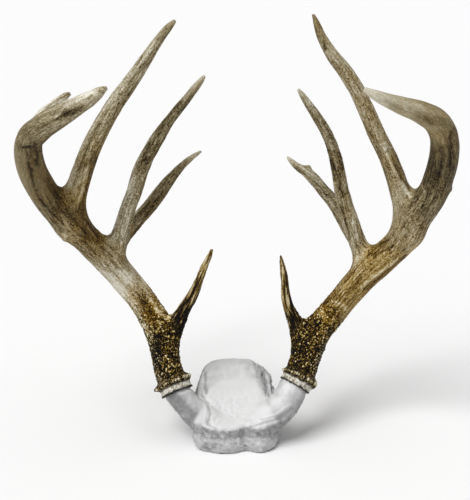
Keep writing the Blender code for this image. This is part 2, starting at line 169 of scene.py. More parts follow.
# What grows from each beam: node, stations, tones, width of the smooth web at its root, and depth
# of its grooves.
LEFT_TINES = [
    ("left_brow_tine", LEFT_BROW_TINE, BROW_TONES, 13, 0.75),
    ("left_second_tine", LEFT_SECOND_TINE, LEFT_SECOND_TONES, 15, 0.9),
    ("left_second_tine_branch", LEFT_SECOND_BRANCH, LEFT_BRANCH_TONES, 9, 0.8),
    ("left_third_tine", LEFT_THIRD_TINE, LEFT_THIRD_TONES, 17, 0.4),
    ("left_fourth_tine", LEFT_FOURTH_TINE, FOURTH_TONES, 9, 0.3),
]
RIGHT_TINES = [
    ("right_brow_tine", RIGHT_BROW_TINE, BROW_TONES, 14, 0.7),
    ("right_second_tine", RIGHT_SECOND_TINE, RIGHT_SECOND_TONES, 15, 0.8),
    ("right_second_tine_branch", RIGHT_SECOND_BRANCH, RIGHT_BRANCH_TONES, 9, 0.7),
    ("right_third_tine", RIGHT_THIRD_TINE, RIGHT_THIRD_TONES, 17, 0.4),
]

# Single grooves, ridges and stains: half-width and rise in mm (a groove's is below 0), shade from
# -1 dark to 1 pale, and then a line's points, each across and up as seen from the front. The shade
# is partly real stain, and partly painted shade in grooves and on shaded sides and painted highlight
# on ridges.
LEFT_MARKS = [
    (1.2, -0.7, -0.8, -240, 319, -233, 319.5, -229, 321),  # crease at the bend, with painted shade in and below it and a painted highlight beside it
    (4, -0.4, -0.25, -246, 324, -240, 319, -226, 322),
    (2, -0.8, -0.5, -226, 322, -223, 314, -223, 301),
    (1.8, 0.2, 0.35, -220, 314, -218, 302, -213, 287),
    (1.1, -0.3, -0.5, -236, 316, -233, 304),  # a broken groove down the bend
    (1.9, -0.6, -0.75, -233, 302, -229, 288),
    (1.3, -0.4, -0.6, -228, 284, -227, 276),
    (1, -0.3, -0.5, -226, 273, -222, 264, -215, 254),
    (1.4, -0.3, -0.3, -220, 261, -207, 246, -198, 236),
    (3, -0.2, -0.3, -203, 269, -200, 258),
    (1.5, -0.4, -0.4, -191, 251, -180, 237, -168, 222),
    (1.2, -0.3, -0.3, -182, 252, -166, 235, -155, 220),
    (1.2, -0.2, -0.25, -200, 254, -186, 236, -175, 220),
    (1.5, -0.5, -0.5, -162, 308, -166, 285, -171, 265, -176, 249),  # third tine's groove, darkened as painted shade
    (3.4, 0, -0.3, -157, 306, -161, 284, -166, 264, -171, 249),  # painted shade on its side
    (1.8, 0.4, 0.35, -167, 297, -171, 279, -175, 264, -182, 254),
    (0.9, -0.4, -0.7, -180, 293, -175, 296),
    (3.6, -0.4, -1, -193, 357, -184, 360, -174, 364),  # smudge near the beam's end
    (0.8, -0.4, -1, -150, 388, -146, 385),  # cracks at its tip
    (0.8, -0.3, -0.7, -154, 384, -149, 381),
    (3, 0, 0.6, -190, 369, -174, 377, -162, 381),
    (2.5, 0, -0.35, -204, 350, -192, 353, -180, 359),
    (1, -0.4, -0.7, -214, 365, -204, 372, -196, 377),  # painted shade in the seam under the fourth tine
    (1.2, -0.4, -0.8, -166, 375, -162, 378),
    (2.4, -0.4, -0.45, -63, 371, -85, 343, -100, 317, -111, 292),  # painted shade on the second tine's side
    (2.2, 0.3, 0.4, -63, 360, -77, 339, -94, 306, -105, 283),  # and a painted highlight on its ridge
    (1.3, -0.3, -0.45, -105, 424, -124, 382),
    (2.2, 0.2, 0.35, -91, 438, -117, 401),
    (1.6, -0.5, -0.6, -104, 305, -99, 308),
    (1.4, 0.4, 0.4, -121, 272, -110, 297, -101, 317),
    (3.4, 0, -0.45, -87, 76, -89, 92, -85, 108),  # dark band on the lower beam
    (3.5, -0.3, -0.3, -108, 153, -96, 135, -87, 124),
    (3.4, -0.5, -0.9, -65, 112, -60, 119, -53, 130),  # black root of the brow tine
    (5.5, 0.1, 0.6, -104, 168, -93, 151, -82, 138),  # pale inner side above the pearls
    (2, 0.2, 0.5, -93, 95, -96, 108, -102, 120),
    (2.2, 0.4, 1.1, -96, 148, -86, 134, -76, 128, -70, 134),  # pale crotch of the brow tine
    (2.4, 0.2, 0.5, -112, 137, -103, 121, -98, 108),
    (4, 0, 0.4, -128, 179, -118, 168),
    (1.6, 0, 0.6, -194, 223, -191, 220),  # knob on the beam's outer side
]
RIGHT_MARKS = [
    (1.4, 0.5, 0.45, 166, 325, 176, 299, 185, 281, 195, 265),  # painted highlight on the third tine's ridge
    (1.2, -0.5, -0.5, 176, 308, 186, 288, 195, 273),
    (1.6, 0.8, 0.9, 141, 163, 154, 174, 168, 183, 181, 193),  # painted highlight on the beam's ridge, painted shade in the groove below
    (2.4, -1, -0.85, 146, 161, 163, 174, 179, 188, 191, 198),
    (4, 0.2, 0.55, 133, 190, 140, 199, 147, 207),  # pale crotch of the second tine
    (3, 0.2, 0.5, 187, 280, 193, 270, 198, 264),  # and of the third
    (3, 0, 0.35, 204, 366, 214, 362, 222, 357),
    (3.5, 0, -0.35, 203, 355, 212, 352, 219, 346),
    (3.5, 0, -0.3, 176, 366, 184, 362),
    (1.2, -0.5, -0.7, 150, 158, 167, 171, 184, 186),
    (1.5, -0.5, -0.7, 155, 198, 167, 204, 177, 209),
    (1.2, -0.4, -0.5, 149, 201, 162, 211, 173, 217),
    (2.8, 0.2, 0.8, 109, 146, 118, 144, 124, 138),
    (1.3, 0.4, 0.6, 207, 287, 209, 279, 213, 267),
    (1.8, -0.5, -0.5, 241, 336, 242, 319, 240, 299),  # dark groove of the bend
    (1.4, -0.3, -0.2, 231, 330, 232, 308, 227, 283),
    (1.6, 0.6, 0.6, 120, 261, 127, 245, 134, 227, 138, 210),
    (1.2, -0.4, -0.5, 117, 255, 124, 236, 129, 218),
    (1.2, -0.4, -0.5, 106, 128, 124, 151, 142, 175),
    (1.1, -0.3, -0.4, 123, 169, 140, 189, 153, 202),
    (1.5, -0.8, -1.2, 99, 439, 101, 430),  # pit near the third tine's tip
    (1.8, 0.3, 0.6, 80, 374, 92, 356, 100, 338, 108, 317),  # painted highlight on the second tine's ridge, painted shade beside it
    (1.4, -0.3, -0.4, 72, 376, 89, 348, 100, 328, 107, 305, 111, 284),
    (1.3, -0.4, -0.4, 108, 306, 116, 283, 125, 250, 130, 236),
    (1.3, -0.3, -0.45, 60, 299, 83, 286, 108, 263),  # its branch
    (1.6, 0.3, 0.3, 72, 300, 91, 281, 108, 252),
    (1.8, -0.3, -0.5, 115, 335, 119, 315, 121, 296),
    (2.4, 0, -0.3, 247, 343, 240, 330),
    (8, 0, -0.3, 62, 58, 67, 72, 72, 86),  # dark base
    (2.6, 0.2, 0.7, 93, 134, 101, 140),
    (1.6, 0.2, 0.35, 92, 96, 100, 113, 110, 129),
]

# Lumps that stand out of the surface: (across, up, forward, height, reach).
LUMPS = [
    (-91, 49, 31, 3.6, 5), (88, 50, 31, 3.4, 5), (-190, 222, 57, 1.2, 8),
    (-187.5, 217.2, 70, 3, 3.2), (-203, 242, 76, 1.5, 9), (233, 271, 121, 2, 8),
    (232, 270, 121, 1, 3.5), (159, 181, 45, 1.5, 9), (81, 297, 58, 3, 4),
]

# Marks on the plate, as above: painted shade in creases and cuts, painted highlight on lips and
# scratches.
PLATE_MARKS = [
    (2.2, -1, -0.3, -38, 41, -31, 32, -28, 20, -31, 9),  # painted shade in the crease at the left pedicle's root
    (1.5, 0.5, 0, -35, 33, -33, 22, -36, 12),
    (1.8, -0.6, -0.3, -31, 9, -26, 5, -20, 3),
    (0.9, 1.3, 0.2, -37, 66, -37, 54, -36, 42),  # lip of the left edge, with a painted highlight on it and painted shade beside it
    (1.3, -1, -0.8, -34, 66, -34, 54, -33, 43),
    (0.7, 0.5, 0.9, -40, -2, -30, -5, -22, -5),  # scratches on the foot, with painted highlight along them
    (0.7, 0.5, 0.8, -42, -9, -33, -11, -24, -10),
    (0.7, 0.4, 0.6, -30, -13, -18, -12),
    (0.7, 0.4, 0.5, 6, -15, 18, -12, 26, -13),
    (1, 0.8, 0.2, 62, 31, 46, 20, 28, 15),  # ragged edge under the right pedicle, with painted shade below it
    (1.8, -0.5, -0.8, 63, 26, 48, 15, 32, 10, 16, 5),
    (1.2, -0.9, -0.6, 31, 66, 35, 54, 37, 42),  # cuts of the right temple, darkened as painted shade
    (1, 0.9, 0.1, 35, 64, 38, 52, 40, 41),
    (1.2, -0.6, -0.4, 28, 74, 31, 62, 33, 48),
]

BURR_AT = 11.5  # distance of the burr's middle from the antler's foot
BURR_RISE = 3.2  # how far the burr stands out under its beads
BURR_REACH = 3.4
BURR_BEADS = 43
FOOT_FLARE = 0.9  # the foot's rim stands out by this much
CAMERA = (-0.9, 204.5, 2810)  # on the leaning plane's axes
PEARL_ZONE = (92, 138)  # the pearls thin out between these distances from the foot
SKIN_VOXEL = 1.45
FILL = 0.24  # strength of the light from all round
BACKDROP = 0.95  # how bright the backdrop looks beyond the floor

LEFT_PEDICLE = [(-15, 9, 29, 32), (-31, 14, 34, 34), (-49, 28, 35, 30), (-65, 47, 31, 29)]
RIGHT_PEDICLE = [(15, 12, 28, 32), (33, 18, 33, 36), (54, 34, 35, 34), (65, 54, 31, 32)]
GAP = 0.35

# The plate in plan, front at -Y: depth, then the half-widths to the left and to the right.
PLATE_PLAN = [
    (-50, 18, 14), (-47, 34, 33), (-40, 43, 42), (-28, 47, 46), (-10, 47, 45), (8, 46, 44),
    (24, 41, 43), (38, 38, 41), (46, 32, 36), (50, 22, 26),
]
FRONT_NOTCH = (10, 9, 6)  # across, half-width and depth of the notch in the front edge
WALL_FRONT = 31
WALL_BACK = 68
# Up the wall: (share of the outline, height, share of the rim's height). The foot stands out.
WALL_STEPS = [
    (0.98, 0, 0), (1.02, 3, 0), (1.025, 8, 0), (0.995, 13, 0), (0.96, 18, 0), (0.965, 0, 0.8),
    (0.99, -3, 1), (0.955, -0.5, 1),
]
CROWN = 4
BROW_DIP = 3
FLANK_DROP = 8
PLATE_VOXEL = 0.95


def upright(points):
    """Points of the leaning plane (across, up, forward) as X, Y, Z."""
    across, up, forward = np.asarray(points, float).T
    return np.stack([across, up * SIN - forward * COS, up * COS + forward * SIN], axis=1)


def smooth(value):
    """0 below 0, 1 above 1, and an even S between."""
    value = np.clip(value, 0, 1)
    return value * value * (3 - 2 * value)


def blend(first, second, share):
    return first * (1 - share) + second * share


def bell(value, width):
    """1 where value is 0, falling off evenly over about this width."""
    return np.exp(-((value / width) ** 2))


def path_lengths(points):
    """Distance of each point from the first, along the chords."""
    steps = norm(np.diff(points[:, :3], axis=0), axis=1)
    return np.concatenate([[0], np.cumsum(steps)])


def curve_through(stations, distances):
    """The smooth curve through the stations, read at these distances: rows of X, Y, Z and width."""
    knots = np.array(stations, float)
    knots[:, :3] = upright(knots[:, :3])
    at = path_lengths(knots)
    slope = np.gradient(knots, at, axis=0)
    i = np.clip(np.searchsorted(at, distances, side="right") - 1, 0, len(at) - 2)
    span = (at[i + 1] - at[i])[:, None]
    t = (distances - at[i])[:, None] / span
    return (
        (2 * t**3 - 3 * t**2 + 1) * knots[i]
        + (t**3 - 2 * t**2 + t) * span * slope[i]
        + (3 * t**2 - 2 * t**3) * knots[i + 1]
        + (t**3 - t**2) * span * slope[i + 1]
    )


def length_of(stations):
    return path_lengths(upright(np.array(stations, float)[:, :3]))[-1]


def frames_along(path):
    """The tangent and two side directions at each point, turning as little as the path allows."""
    tangents = np.gradient(path[:, :3], axis=0)
    tangents /= norm(tangents, axis=1)[:, None]
    side = np.cross(tangents[0], (0, 1, 0))
    sides = []
    for tangent in tangents:
        side = side - tangent * (side @ tangent)
        side /= norm(side)
        sides.append(side)
    sides = np.array(sides)
    return tangents, sides, np.cross(tangents, sides)


def hashed(cells, seed):
    """A number from 0 to 1 for each whole-number cell, the same in every run."""
    mixed = np.full(cells.shape[:-1], 1013 + 7919 * seed, np.uint64)
    for axis, prime in enumerate((73856093, 19349663, 83492791)):
        mixed ^= (cells[..., axis].astype(np.int64) * prime).astype(np.uint64)
        mixed *= np.uint64(0x9E3779B97F4A7C15)
        mixed ^= mixed >> np.uint64(29)
    return (mixed >> np.uint64(11)).astype(float) / 2.0**53


def noise(points, seed=0):
    """Smooth noise from -1 to 1, with lumps about one unit wide."""
    cell = np.floor(points)
    t = points - cell
    t = t * t * t * (t * (t * 6 - 15) + 10)
    total = np.zeros(len(points))
    for corner in itertools.product((0, 1), repeat=3):
        weight = np.prod(np.where(corner, t, 1 - t), axis=1)
        total += weight * hashed(cell + corner, seed)
    return total * 2 - 1


def rough(points, octaves=3, seed=0):
    """Noise summed over halving sizes, from about -1 to 1."""
    total = np.zeros(len(points))
    for octave in range(octaves):
        total += noise(points * 2**octave, seed + 17 * octave) / 2**octave
    return total / 1.5


def scattered(points, seed):
    """Distance to the nearest of points scattered one unit apart, and a number for that one."""
    home = np.floor(points)
    nearest = np.full(len(points), 9.0)
    number = np.zeros(len(points))
    for offset in itertools.product((-1, 0, 1), repeat=3):
        cell = home + offset
        jitter = np.stack([hashed(cell, seed + axis) for axis in range(3)], axis=1)
        away = norm(points - (cell + 0.1 + 0.8 * jitter), axis=1)
        closer = away < nearest
        nearest = np.where(closer, away, nearest)
        number = np.where(closer, hashed(cell, seed + 3), number)
    return nearest, number


def seen(points):
    """Where points show from the camera: across and up, in mm on the plane that the antlers lean on."""
    x, y, z = points.T
    up = y * SIN + z * COS
    forward = z * SIN - y * COS
    nearer = CAMERA[2] / (CAMERA[2] - forward)
    return (x - CAMERA[0]) * nearer + CAMERA[0], (up - CAMERA[1]) * nearer + CAMERA[1]


def marked(points, outward, marks, seed):
    """The rise and the shade that the marks give each point that faces the front."""
    across, up = seen(points)
    across = across + 0.9 * noise(points / 6, seed)
    up = up + 0.9 * noise(points / 6, seed + 5)
    ragged = 1 + 0.45 * noise(points / 4, seed + 9)
    facing = smooth((outward[:, 2] * SIN - outward[:, 1] * COS) / 0.3)
    rise = np.zeros(len(points))
    shade = np.zeros(len(points))
    for reach, height, tint, *line in marks:
        away = np.full(len(points), 99.0)
        for x0, y0, x1, y1 in zip(line[::2], line[1::2], line[2::2], line[3::2]):
            run_x, run_y = x1 - x0, y1 - y0
            share = ((across - x0) * run_x + (up - y0) * run_y) / (run_x**2 + run_y**2)
            share = np.clip(share, 0, 1)
            away = np.minimum(away, np.hypot(across - x0 - share * run_x, up - y0 - share * run_y))
        near = bell(away, reach * ragged) * facing
        rise += height * near
        shade += tint * near
    return rise, shade


class Tube:
    """A tapering tube along a smooth curve, drawn by distance along it and angle round it."""

    def __init__(self, stations, steps):
        self.path = curve_through(stations, steps)
        self.path[:, 3] /= 2
        self.at = path_lengths(self.path)
        self.tangents, self.first, self.second = frames_along(self.path)

    def locate(self, points):
        """Distance outside the surface, outward direction, distance along, angle and radius."""
        start = self.path[:-1, :3]
        run = np.diff(self.path[:, :3], axis=0)
        square = (run**2).sum(1)
        dot = points @ run.T - (start * run).sum(1)
        share = np.clip(dot / square, 0, 1)
        away = (points**2).sum(1)[:, None] - 2 * points @ start.T + (start**2).sum(1)
        away += share * (share * square - 2 * dot)
        i = away.argmin(1)
        t = share[np.arange(len(points)), i][:, None]
        outward = points - start[i] - t * run[i]
        distance = norm(outward, axis=1)
        outward /= np.maximum(distance, 1e-6)[:, None]
        first = blend(self.first[i], self.first[i + 1], t)
        second = blend(self.second[i], self.second[i + 1], t)
        angle = np.arctan2((outward * second).sum(1), (outward * first).sum(1))
        t = t[:, 0]
        along = blend(self.at[i], self.at[i + 1], t)
        radius = blend(self.path[i, 3], self.path[i + 1, 3], t)
        return distance - radius, outward, along, angle, radius


def tube_rings(tube, sides):
    """Rings of points round a tube."""
    angles = np.arange(sides) * 2 * math.pi / sides
    outward = (
        tube.first[:, None] * np.cos(angles)[None, :, None]
        + tube.second[:, None] * np.sin(angles)[None, :, None]
    )
    return tube.path[:, None, :3] + outward * tube.path[:, 3][:, None, None]


def add_skin(shape, rings):
    """Adds a closed shape made of rings of points, capped at both ends, to a bmesh."""
    loops = [[shape.verts.new(point * MM) for point in ring] for ring in rings]
    count = len(loops[0])
    made = []
    for low, high in zip(loops, loops[1:]):
        for i in range(count):
            j = (i + 1) % count
            made.append(shape.faces.new((low[i], low[j], high[j], high[i])))
    made.append(shape.faces.new(loops[0][::-1]))
    made.append(shape.faces.new(loops[-1]))
    bmesh.ops.recalc_face_normals(shape, faces=made)


def put_in_scene(name, data):
    obj = bpy.data.objects.new(name, data)
    bpy.context.scene.collection.objects.link(obj)
    return obj


def mesh_object(name, shape):
    """An object with what a bmesh holds."""
    mesh = bpy.data.meshes.new(name)
    shape.to_mesh(mesh)
    shape.free()
    return put_in_scene(name, mesh)


def fused(name, shapes, voxel):
    """An object whose mesh is one even skin round overlapping shapes, each given as rings."""
    shape = bmesh.new()
    for rings in shapes:
        add_skin(shape, rings)
    obj = mesh_object(name, shape)
    mesh = obj.data
    remesh = obj.modifiers.new("even skin", "REMESH")
    remesh.mode = "VOXEL"
    remesh.voxel_size = voxel * MM
    depsgraph = bpy.context.evaluated_depsgraph_get()
    skin = bpy.data.meshes.new_from_object(obj.evaluated_get(depsgraph))
    obj.modifiers.clear()
    obj.data = skin
    bpy.data.meshes.remove(mesh)
    skin.name = name
    return obj


def vertex_rows(obj, key):
    """One vector of each vertex, such as its place or its normal."""
    flat = np.empty(len(obj.data.vertices) * 3, np.float32)
    obj.data.vertices.foreach_get(key, flat)
    return flat.reshape(-1, 3).astype(float)


def points_of(obj):
    return vertex_rows(obj, "co") / MM


def move_points(obj, points):
    obj.data.vertices.foreach_set("co", (points * MM).astype(np.float32).ravel())
    obj.data.update()


def paint(obj, **fields):
    """Stores a number or a vector for each vertex under each name, for the material to read."""
    for name, values in fields.items():
        values = np.asarray(values, np.float32)
        kind, key = ("FLOAT", "value") if values.ndim == 1 else ("FLOAT_VECTOR", "vector")
        attribute = obj.data.attributes.new(name, kind, "POINT")
        attribute.data.foreach_set(key, values.ravel())


def refine(obj, chosen):
    """Halves the edges between chosen vertices, for finer relief there."""
    shape = bmesh.new()
    shape.from_mesh(obj.data)
    shape.verts.ensure_lookup_table()
    edges = [edge for edge in shape.edges if all(chosen[v.index] for v in edge.verts)]
    bmesh.ops.subdivide_edges(shape, edges=edges, cuts=1, use_grid_fill=True)
    shape.to_mesh(obj.data)
    shape.free()


class Antler:
    """A beam and its tines as one smooth body, with what the relief and the colours need."""

    def __init__(self, beam, tones, tines):
        self.beam_tones = tones
        length = length_of(beam)
        steps = np.concatenate([np.arange(0, 24, 1.0), np.linspace(24, length, round(length / 4))])
        self.beam = Tube(beam, steps)
        self.beam.path[:, 3] += BURR_RISE * bell(self.beam.at - BURR_AT, BURR_REACH)
        self.beam.path[:, 3] += FOOT_FLARE * bell(self.beam.at, 2.5)
        self.foot = self.beam.path[0, :3]
        self.up = self.beam.tangents[0]
        self.tines = []
        for _, stations, shades, web, groove in tines:
            reach = length_of(stations)
            tube = Tube(stations, np.linspace(0, reach, round(reach / 4)))
            self.tines.append((tube, shades, web, groove))

    def shapes(self):
        shapes = [tube_rings(self.beam, 40)]
        shapes += [tube_rings(tube, 24) for tube, _, _, _ in self.tines]
        return shapes

    def surface(self, points):
        """Distance outside the smooth body, its outward direction, and each tube's share and place."""
        gap, outward, along, angle, radius = self.beam.locate(points)
        places = [(along, angle, radius)]
        shares = [np.ones(len(points))]
        for tube, _, web, _ in self.tines:
            other, direction, along, angle, radius = tube.locate(points)
            share = np.clip(0.5 + 0.5 * (gap - other) / web, 0, 1)
            gap = blend(gap, other, share) - web * share * (1 - share)
            outward = blend(outward, direction, share[:, None])
            shares = [s * (1 - share) for s in shares] + [share]
            places.append((along, angle, radius))
        for across, up, forward, rise, reach in LUMPS:
            centre = upright([(across, up, forward)])
            away = ((points - centre) ** 2).sum(1)
            gap = gap - rise * np.exp(-away / reach**2)
        below = (self.foot - points) @ self.up
        cut = smooth(0.5 + (below - gap) / 2)
        gap = blend(gap, below, cut)
        outward = blend(outward, -self.up, cut[:, None])
        outward /= norm(outward, axis=1)[:, None]
        return gap, outward, shares, places

    def settle(self, points, rounds):
        """Brings points onto the smooth body."""
        for _ in range(rounds):
            gap, outward, _, _ = self.surface(points)
            points = points - outward * np.clip(gap, -2.5, 2.5)[:, None]
        return points


def in_parts(function, points, size=20000):
    """Runs a point-wise function on a few thousand points at a time, to save memory."""
    return np.concatenate([function(points[i : i + size]) for i in range(0, len(points), size)])


def pearls(points, seed):
    """The beads that cover an antler's lower part: height from 0 to 1, and a number for each."""
    big, number = scattered(points / 2.7, seed)
    small, other = scattered(points / 1.8 + 50, seed + 9)
    tall = np.clip(1 - (big / (0.4 + 0.3 * number)) ** 2, 0, 1) * (0.6 + 0.4 * number)
    fine = np.clip(1 - (small / 0.62) ** 2, 0, 1) * (0.3 + 0.4 * other)
    return np.maximum(tall, fine), np.where(tall > fine, number, other)


def lengthwise(place, wide, long, seed):
    """Noise drawn out along a tube: wide across and long along it, in mm."""
    return rough(place / (wide, wide, long), 3, seed)


def along_tubes(antler, shares, places):
    """What varies along the tubes: grain place, seams, and how pale, ochre, worn and grooved."""
    spots = []
    kinds = [(antler.beam, antler.beam_tones, 0.35)]
    kinds += [(tube, tones, groove) for tube, tones, _, groove in antler.tines]
    pale, ochre, worn, depth, lined = (np.zeros(len(shares[0])) for _ in range(5))
    for number, (tube, tones, groove) in enumerate(kinds):
        along, angle, radius = places[number]
        offset = 300 * number
        spots.append(np.stack([np.cos(angle) * radius, np.sin(angle) * radius, along + offset], 1))
        at, light, stain, polish = np.array(tones).T
        place = along / tube.at[-1]
        pale += shares[number] * np.interp(place, at, light)
        ochre += shares[number] * np.interp(place, at, stain)
        worn += shares[number] * np.interp(place, at, polish)
        depth += shares[number] * groove
        lined += shares[number] * (1 if number == 0 else 0.7)
    shares = np.array(shares)
    main = shares.argmax(0)
    grain = np.array(spots)[main, np.arange(len(main))]
    seam = smooth((shares.max(0) - 0.5) / 0.14)
    return spots, grain, seam, pale, ochre, worn, depth, lined


def burr_beads(along, angle, radius, share, seed):
    """The burr's ring, from 0 to 1, and its uneven upright beads."""
    round_it = np.stack([np.cos(angle), np.sin(angle), 0 * angle], 1)
    wander = 1.3 * noise(round_it * 2.2, seed + 3)
    ring = bell(along - BURR_AT - wander, BURR_REACH * 0.8) * share
    uneven = angle + 0.2 * noise(round_it * 2.5, seed) + 0.05 * noise(round_it * 9, seed + 1)
    rope = np.abs(np.cos(uneven * BURR_BEADS / 2 + (along - BURR_AT) * 0.16))
    tall = 0.75 + 0.5 * noise(round_it * 4, seed + 2)
    return ring, rope**0.7 * np.clip(tall, 0.2, 1.2)


def make_antler(side, beam, tones, tines, marks, seed):
    """One antler: a fused skin, brought onto the smooth body, then pearled, beaded and grooved."""
    antler = Antler(beam, tones, tines)
    obj = fused(f"{side}_antler", antler.shapes(), SKIN_VOXEL)
    points = in_parts(lambda part: antler.settle(part, 4), points_of(obj))
    move_points(obj, points)
    _, _, shares, places = antler.surface(points)
    low = places[0][0] < PEARL_ZONE[1]
    near_beam = shares[0] > 0.5
    brow_low = (shares[1] > 0.5) & (places[1][0] < 60)
    refine(obj, (low & near_beam) | brow_low)
    points = in_parts(lambda part: antler.settle(part, 2), points_of(obj))
    _, outward, shares, places = antler.surface(points)
    spots, grain, seam, pale, ochre, worn, depth, lined = along_tubes(antler, shares, places)
    along, angle, radius = places[0]
    on_left = side == "left"

    # Pearls thin out up the beam and on its outer side, and stop short of the foot.
    turned_in = outward[:, 0] * (0.5 if on_left else -0.5) + 0.5
    height = along + 20 * (1 - turned_in) + 14 * rough(points / 12, 3, seed)
    pearled = 1 - smooth((height - PEARL_ZONE[0]) / (PEARL_ZONE[1] - PEARL_ZONE[0]))
    pearled *= smooth((along - 15) / 4)
    brow = shares[1] * (1 - smooth((places[1][0] - 28) / 26))
    pearled = pearled * shares[0] + brow
    bead, number = pearls(points, seed)
    lumpy = rough(points / 5, 2, seed + 70)
    rise = pearled * (1.2 * bead - 0.45 + 0.8 * lumpy)
    soot = 1 - smooth((along - 57 + 16 * rough(points / 13, 2, seed + 80)) / 34)
    soot = soot * shares[0] + shares[1] * 0.9

    # The burr's beads sit side by side, unevenly, on its ring, and the foot's rim is ragged.
    ring, rope = burr_beads(along, angle, radius, shares[0], seed)
    rise += ring * (1.7 * rope - 0.4)
    rise += bell(along, 3) * shares[0] * 0.8 * rough(points / 3.5, 2, seed + 60)

    # Grooves and ridges run the length of the beam and of each tine.
    streak = np.zeros(len(points))
    fine = np.zeros(len(points))
    for index, spot in enumerate(spots):
        wide = 2.4 if index == 1 else 4.6
        streak += shares[index] * lengthwise(spot, wide, 60, seed + 3 * index)
        fine += shares[index] * lengthwise(spot, 1.8, 26, seed + 3 * index + 1)
    depth = depth * (0.3 + 0.7 * smooth((along - 40) / 60))
    fade = 1 - 0.85 * worn
    rise += depth * fade * (1.3 * streak + 0.9 * fine)
    rise += 0.4 * rough(points / 14, 3, seed + 40) * (1 - pearled) * fade
    line_rise, line_shade = marked(points, outward, marks, seed)
    rise += line_rise

    low, high = (np.array(corner) / MM for corner in cad_box)
    move_points(obj, np.clip(points + outward * rise[:, None], low, high))
    obj.data.shade_smooth()
    paint(
        obj,
        grain=grain,
        seam=seam,
        pale=pale,
        ochre=ochre,
        lined=lined,
        worn=worn,
        lumpy=lumpy,
        soot=soot,
        ring=ring,
        foot=along,
        brow=shares[1],
        # The marks' shade and the grooves give stains and also painted shade in grooves and painted
        # highlight on ridges; relief makes bead tops paler and crevices darker, partly as painted
        # highlight and shade.
        mark=line_shade,
        groove=streak * 0.6 + fine * 0.5,
        relief=np.clip(pearled * bead + ring * (1.4 * rope - 0.05), -0.2, 1.4),
        bead=np.where(ring > 0.3, 0.85, number),
        pearled=np.clip(pearled + ring, 0, 1),
        turned_in=turned_in + (0 if on_left else 0.15),
        # Right-facing sides, which the material paints darker and more ochre as painted shade.
        rightward=outward[:, 0] * (1 if on_left else 0.4),
        sprinkled=(1 - smooth((height - PEARL_ZONE[0]) / (80 if on_left else 45))) * shares[0],
        stub=(1 - smooth((along - 6.5) / 2.5)) * shares[0],
    )
    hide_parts(f"{side}_main_beam", *[tine[0] for tine in tines])
    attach(obj, "root")
    return obj


class Signal:
    """A shader's value. Sums and products of it become math nodes."""

    def __init__(self, socket):
        self.socket = socket

    def math(self, operation, *others):
        node = self.socket.id_data.nodes.new("ShaderNodeMath")
        node.operation = operation
        for value, socket in zip((self, *others), node.inputs):
            join(value, socket)
        return Signal(node.outputs["Value"])

    def __add__(self, other):
        return self.math("ADD", other)

    def __mul__(self, other):
        return self.math("MULTIPLY", other)


def join(value, socket):
    """Puts a number, a colour or another node's output into a socket."""
    if isinstance(value, Signal):
        socket.id_data.links.new(value.socket, socket)
    else:
        socket.default_value = value


def centred(value, strength):
    """A texture's value, which lies round a half, as a swing round nothing."""
    return (value + -0.5) * strength


def spread(value, low, high, out_low=0.0, out_high=1.0):
    """Value stretched from low..high to out_low..out_high, and held there outside."""
    node = value.socket.id_data.nodes.new("ShaderNodeMapRange")
    node.interpolation_type = "SMOOTHSTEP"
    for number, socket in zip((value, low, high, out_low, out_high), node.inputs):
        join(number, socket)
    return Signal(node.outputs["Result"])


class Shader:
    """Short calls for building a material's nodes."""

    def __init__(self, name):
        self.material = bpy.data.materials.new(name)
        self.material.use_nodes = True
        self.nodes = self.material.node_tree.nodes
        self.surface = self.nodes["Principled BSDF"].inputs

    def node(self, kind, output, **inputs):
        """Adds a node, fills its inputs and gives one of its outputs."""
        node = self.nodes.new("ShaderNode" + kind)
        for name, value in inputs.items():
            join(value, node.inputs[name])
        return Signal(node.outputs[output])

    def read(self, name, output="Fac"):
        """What paint stored under this name."""
        value = self.node("Attribute", output)
        value.socket.node.attribute_name = name
        return value

    def place(self):
        """The object's own coordinates in millimetres."""
        here = self.node("TexCoord", "Object")
        return self.node("Mapping", "Vector", Vector=here, Scale=[1 / MM] * 3)

    def noise(self, vector, scale, detail=3.0, roughness=0.55):
        return self.node(
            "TexNoise", "Fac", Vector=vector, Scale=scale, Detail=detail, Roughness=roughness
        )

    def drawn_out(self, grain, wide, long, detail, roughness, shift=0):
        """Noise that follows a tube's grain, scaled by wide round it and by long along it."""
        scale = (wide, wide, long)
        turned = self.node("Mapping", "Vector", Vector=grain, Location=[shift] * 3, Scale=scale)
        return self.noise(turned, 1, detail, roughness)

    def ramp(self, value, stops):
        """Colours along a value: stops are hex colours by place."""
        ramp = self.node("ValToRGB", "Color", Fac=value)
        elements = ramp.socket.node.color_ramp.elements
        while len(elements) < len(stops):
            elements.new(0.5)
        for element, (at, shade) in zip(elements, stops.items()):
            element.position = at
            element.color = colour(shade)
        return ramp

    def mix(self, factor, below, above):
        node = self.nodes.new("ShaderNodeMix")
        node.data_type = "RGBA"
        node.clamp_factor = True
        for value, socket in ((factor, "Factor"), (below, 6), (above, 7)):
            join(value, node.inputs[socket])
        return Signal(node.outputs[2])

    def coat(self, skin, roughness, height, distance, strength):
        """Gives the surface its colour and roughness, and a bump of this many millimetres."""
        join(skin, self.surface["Base Color"])
        join(roughness, self.surface["Roughness"])
        reach = distance * MM
        bump = self.node("Bump", "Normal", Strength=strength, Distance=reach, Height=height)
        join(bump, self.surface["Normal"])
        return self.material


def colour(shade):
    """A hex colour, such as "8a6a2c", as linear red, green, blue and alpha."""
    parts = [int(shade[i : i + 2], 16) / 255 for i in (0, 2, 4)]
    linear = [p / 12.92 if p <= 0.04045 else ((p + 0.055) / 1.055) ** 2.4 for p in parts]
    return (*linear, 1.0)


